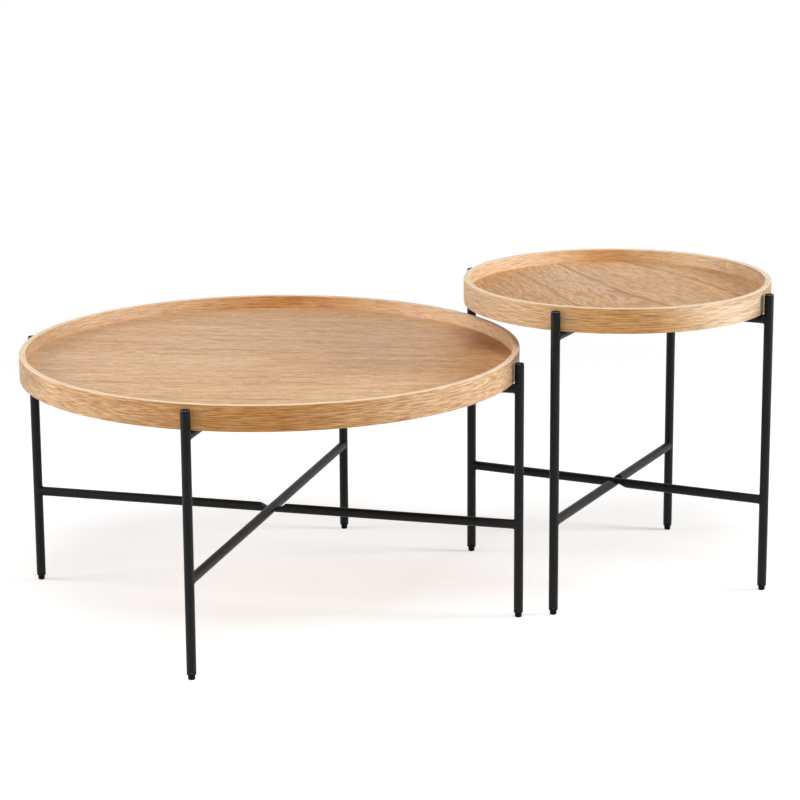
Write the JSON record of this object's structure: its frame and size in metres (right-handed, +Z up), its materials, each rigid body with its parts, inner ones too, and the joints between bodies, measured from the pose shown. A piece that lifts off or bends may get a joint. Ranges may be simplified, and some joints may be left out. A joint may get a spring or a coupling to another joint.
{
  "type": "nesting tray table set",
  "caption": "Set of nesting round tray tables: a wide low one and a narrow tall one, oak-veneered trays with raised rims on black tube frames with crossed stretchers.",
  "frame": {"origin": "on the floor, at the middle of the set's bounding box", "axes": "+X to the right across both tables, from the wide one to the narrow one; +Y away from the picture's camera; +Z up"},
  "size_m": [1.222, 0.8062, 0.504],
  "materials": {
    "veneered_rim": "satin oak veneer bent round the hoop, grain along it, pale sanded top edge",
    "veneered_panel": "satin oak veneer, straight grain",
    "powder_coat": "fine satin black powder coat",
    "black_plastic": "moulded black plastic",
    "zinc": "bright zinc plating"
  },
  "bodies": {
    "large_table": {"large_tray_rim": "veneered_rim", "large_tray_panel": "veneered_panel", "large_leg_right": "powder_coat", "large_leg_cap_right": "black_plastic", "large_foot_right": "black_plastic", "large_tray_screw_right": "zinc", "large_leg_back": "powder_coat", "large_leg_cap_back": "black_plastic", "large_foot_back": "black_plastic", "large_tray_screw_back": "zinc", "large_leg_left": "powder_coat", "large_leg_cap_left": "black_plastic", "large_foot_left": "black_plastic", "large_tray_screw_left": "zinc", "large_leg_front": "powder_coat", "large_leg_cap_front": "black_plastic", "large_foot_front": "black_plastic", "large_tray_screw_front": "zinc", "large_stretcher_under": "powder_coat", "large_stretcher_over": "powder_coat", "large_top_bar_under": "powder_coat", "large_top_bar_over": "powder_coat", "large_crossing_screw_low": "zinc", "large_crossing_nut_low": "zinc", "large_crossing_screw_high": "zinc", "large_crossing_nut_high": "zinc"},
    "small_table": {"small_tray_rim": "veneered_rim", "small_tray_panel": "veneered_panel", "small_leg_right": "powder_coat", "small_leg_cap_right": "black_plastic", "small_foot_right": "black_plastic", "small_tray_screw_right": "zinc", "small_leg_back": "powder_coat", "small_leg_cap_back": "black_plastic", "small_foot_back": "black_plastic", "small_tray_screw_back": "zinc", "small_leg_left": "powder_coat", "small_leg_cap_left": "black_plastic", "small_foot_left": "black_plastic", "small_tray_screw_left": "zinc", "small_leg_front": "powder_coat", "small_leg_cap_front": "black_plastic", "small_foot_front": "black_plastic", "small_tray_screw_front": "zinc", "small_stretcher_under": "powder_coat", "small_stretcher_over": "powder_coat", "small_top_bar_under": "powder_coat", "small_top_bar_over": "powder_coat", "small_crossing_screw_low": "zinc", "small_crossing_nut_low": "zinc", "small_crossing_screw_high": "zinc", "small_crossing_nut_high": "zinc"}
  },
  "joints": [
    {"name": "nest_slide", "type": "slide", "parent": "large_table", "child": "small_table", "axis": [1, 0, 0], "range_m": [-0.01, 0.3]}
  ]
}
